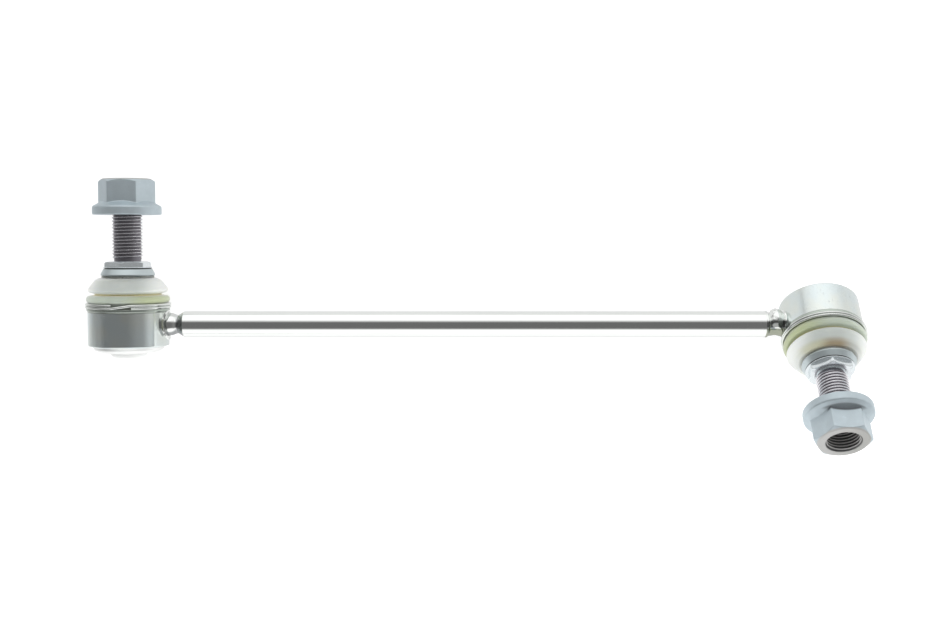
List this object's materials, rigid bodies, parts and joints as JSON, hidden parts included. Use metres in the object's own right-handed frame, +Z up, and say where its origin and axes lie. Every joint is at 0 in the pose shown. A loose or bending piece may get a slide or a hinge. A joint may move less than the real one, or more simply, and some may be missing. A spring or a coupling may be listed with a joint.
{
  "type": "stabilizer link",
  "caption": "Stabilizer link: a round steel bar with a sealed ball joint welded to each end, each with a booted threaded stud and a hexagon flange nut.",
  "frame": {"origin": "on the surface the link lies on, under the middle of its overall box", "axes": "+X along the bar from end A to end B, +Z up. Stud A points along +Y, 3.5 degrees up. Stud B points along -Y, 37.5 degrees up."},
  "size_m": [0.2994, 0.1046, 0.0571],
  "materials": {
    "bright_bar": "bright drawn bar with a thin clear zinc plating, nearly a mirror along its length",
    "zinc_housing": "turned steel, bright zinc plated, with faint lilac and green tints",
    "bearing_plastic": "natural acetal, greased",
    "spring_steel": "bright drawn spring wire",
    "stud_steel": "zinc plated, pale blue-grey",
    "boot_rubber": "milky translucent rubber, satin",
    "nut_zinc": "matte blue-grey zinc plating",
    "weld_metal": "smooth weld and upset metal, plated with the rest"
  },
  "bodies": {
    "link": {"tie_rod": "bright_bar", "housing_a": "zinc_housing", "bearing_shell_a": "bearing_plastic", "preload_disc_a": "spring_steel", "closing_cap_a": "zinc_housing", "weld_collar_a": "weld_metal", "boot_spring_ring_a": "spring_steel", "housing_b": "zinc_housing", "bearing_shell_b": "bearing_plastic", "preload_disc_b": "spring_steel", "closing_cap_b": "zinc_housing", "weld_collar_b": "weld_metal", "boot_spring_ring_b": "spring_steel"},
    "boot_folds_a": {"boot_a": "boot_rubber"},
    "boot_lip_a": {"boot_upper_ring_a": "spring_steel"},
    "stud_a": {"ball_stud_a": "stud_steel"},
    "nut_a": {"flange_nut_a": "nut_zinc"},
    "boot_folds_b": {"boot_b": "boot_rubber"},
    "boot_lip_b": {"boot_upper_ring_b": "spring_steel"},
    "stud_b": {"ball_stud_b": "stud_steel"},
    "nut_b": {"flange_nut_b": "nut_zinc"}
  },
  "joints": [
    {"name": "swing_a", "type": "hinge", "parent": "link", "child": "boot_folds_a", "pos_m": [-0.1335, -0.00395, 0.01689], "axis": [1, 0, 0], "range_deg": [-18, 18], "deforming": ["boot_a"]},
    {"name": "rock_a", "type": "hinge", "parent": "boot_folds_a", "child": "boot_lip_a", "pos_m": [-0.1335, -0.00395, 0.01689], "axis": [0, 0.061, -0.9981], "range_deg": [-18, 18]},
    {"name": "stud_turn_a", "type": "hinge", "parent": "boot_lip_a", "child": "stud_a", "pos_m": [-0.1335, -0.00395, 0.01689], "axis": [0, 0.9981, 0.061], "continuous": true},
    {"name": "nut_run_a", "type": "slide", "parent": "stud_a", "child": "nut_a", "axis": [0, 0.9981, 0.061], "range_m": [-0.0176, 0.008]},
    {"name": "swing_b", "type": "hinge", "parent": "link", "child": "boot_folds_b", "pos_m": [0.1335, -0.00395, 0.01689], "axis": [1, 0, 0], "range_deg": [-18, 18], "deforming": ["boot_b"]},
    {"name": "rock_b", "type": "hinge", "parent": "boot_folds_b", "child": "boot_lip_b", "pos_m": [0.1335, -0.00395, 0.01689], "axis": [0, 0.6088, 0.7934], "range_deg": [-18, 18]},
    {"name": "stud_turn_b", "type": "hinge", "parent": "boot_lip_b", "child": "stud_b", "pos_m": [0.1335, -0.00395, 0.01689], "axis": [0, -0.7934, 0.6088], "continuous": true},
    {"name": "nut_run_b", "type": "slide", "parent": "stud_b", "child": "nut_b", "axis": [0, -0.7934, 0.6088], "range_m": [-0.0155, 0.01]}
  ]
}
